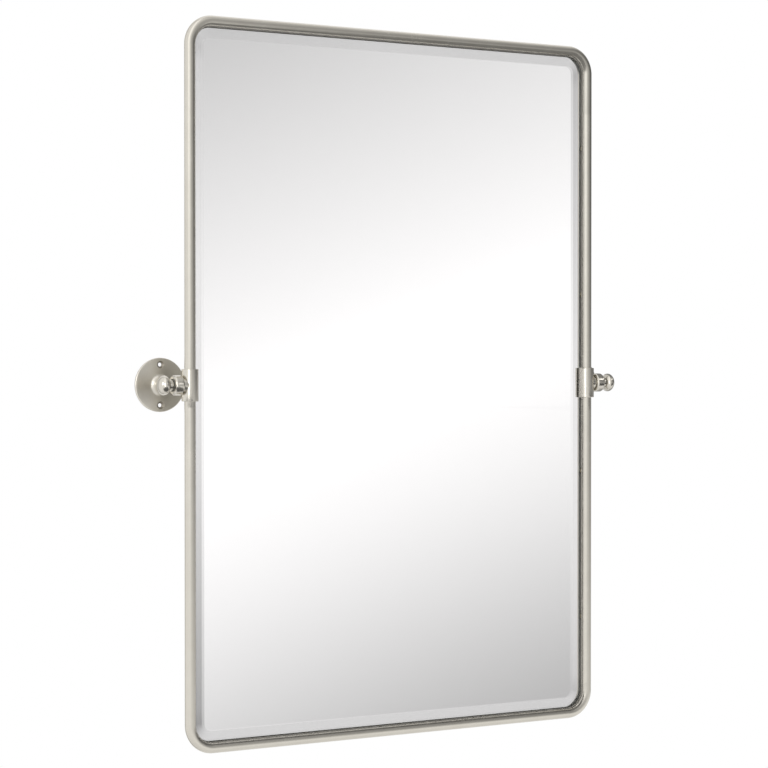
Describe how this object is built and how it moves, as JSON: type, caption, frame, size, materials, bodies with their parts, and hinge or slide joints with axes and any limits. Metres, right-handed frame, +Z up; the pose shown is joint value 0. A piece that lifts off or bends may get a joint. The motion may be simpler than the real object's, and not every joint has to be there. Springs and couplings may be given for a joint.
{
  "type": "pivot wall mirror",
  "caption": "Tall bevelled mirror in a bent round nickel tube frame that tilts on turned pivots between two round wall flanges.",
  "frame": {"origin": "on the wall plane, at the centre of the rectangle of the four wall holes, level with the pivot axis", "axes": "+X to the right seen from the room, +Y into the wall, +Z up; the glass faces -Y"},
  "size_m": [0.6992, 0.0645, 0.9144],
  "materials": {
    "frame_nickel": "brushed nickel plate on steel tube",
    "turned_nickel": "brushed nickel plate on turned brass",
    "silvered_glass": "silvered bevelled float glass",
    "board": "light grey painted hardboard",
    "foam": "closed-cell foam tape",
    "zinc_steel": "zinc plated",
    "nylon": "grey nylon"
  },
  "bodies": {
    "brackets": {"left_wall_flange": "turned_nickel", "right_wall_flange": "turned_nickel", "left_post": "turned_nickel", "right_post": "turned_nickel", "left_post_screw": "zinc_steel", "right_post_screw": "zinc_steel", "left_knuckle": "turned_nickel", "right_knuckle": "turned_nickel", "left_pivot_bush": "nylon", "right_pivot_bush": "nylon", "left_inner_washer": "nylon", "right_inner_washer": "nylon", "left_outer_washer": "nylon", "right_outer_washer": "nylon"},
    "mirror": {"upper_frame_tube": "frame_nickel", "lower_frame_tube": "frame_nickel", "left_sleeve": "turned_nickel", "right_sleeve": "turned_nickel", "mirror_glass": "silvered_glass", "mounting_tape": "foam", "backing_board": "board", "weld_bosses": "frame_nickel", "board_screws": "zinc_steel", "left_pivot_bolt": "zinc_steel", "right_pivot_bolt": "zinc_steel"},
    "finial_left": {"left_finial": "turned_nickel"},
    "finial_right": {"right_finial": "turned_nickel"}
  },
  "joints": [
    {"name": "mirror_tilt", "type": "hinge", "parent": "brackets", "child": "mirror", "pos_m": [0, -0.052, 0], "axis": [1, 0, 0], "range_deg": [-4.8, 4.8]},
    {"name": "left_finial_turn", "type": "hinge", "parent": "mirror", "child": "finial_left", "pos_m": [-0.333, -0.052, 0], "axis": [-1, 0, 0], "range_deg": [0, 180]},
    {"name": "right_finial_turn", "type": "hinge", "parent": "mirror", "child": "finial_right", "pos_m": [0.333, -0.052, 0], "axis": [1, 0, 0], "range_deg": [0, 180]}
  ]
}
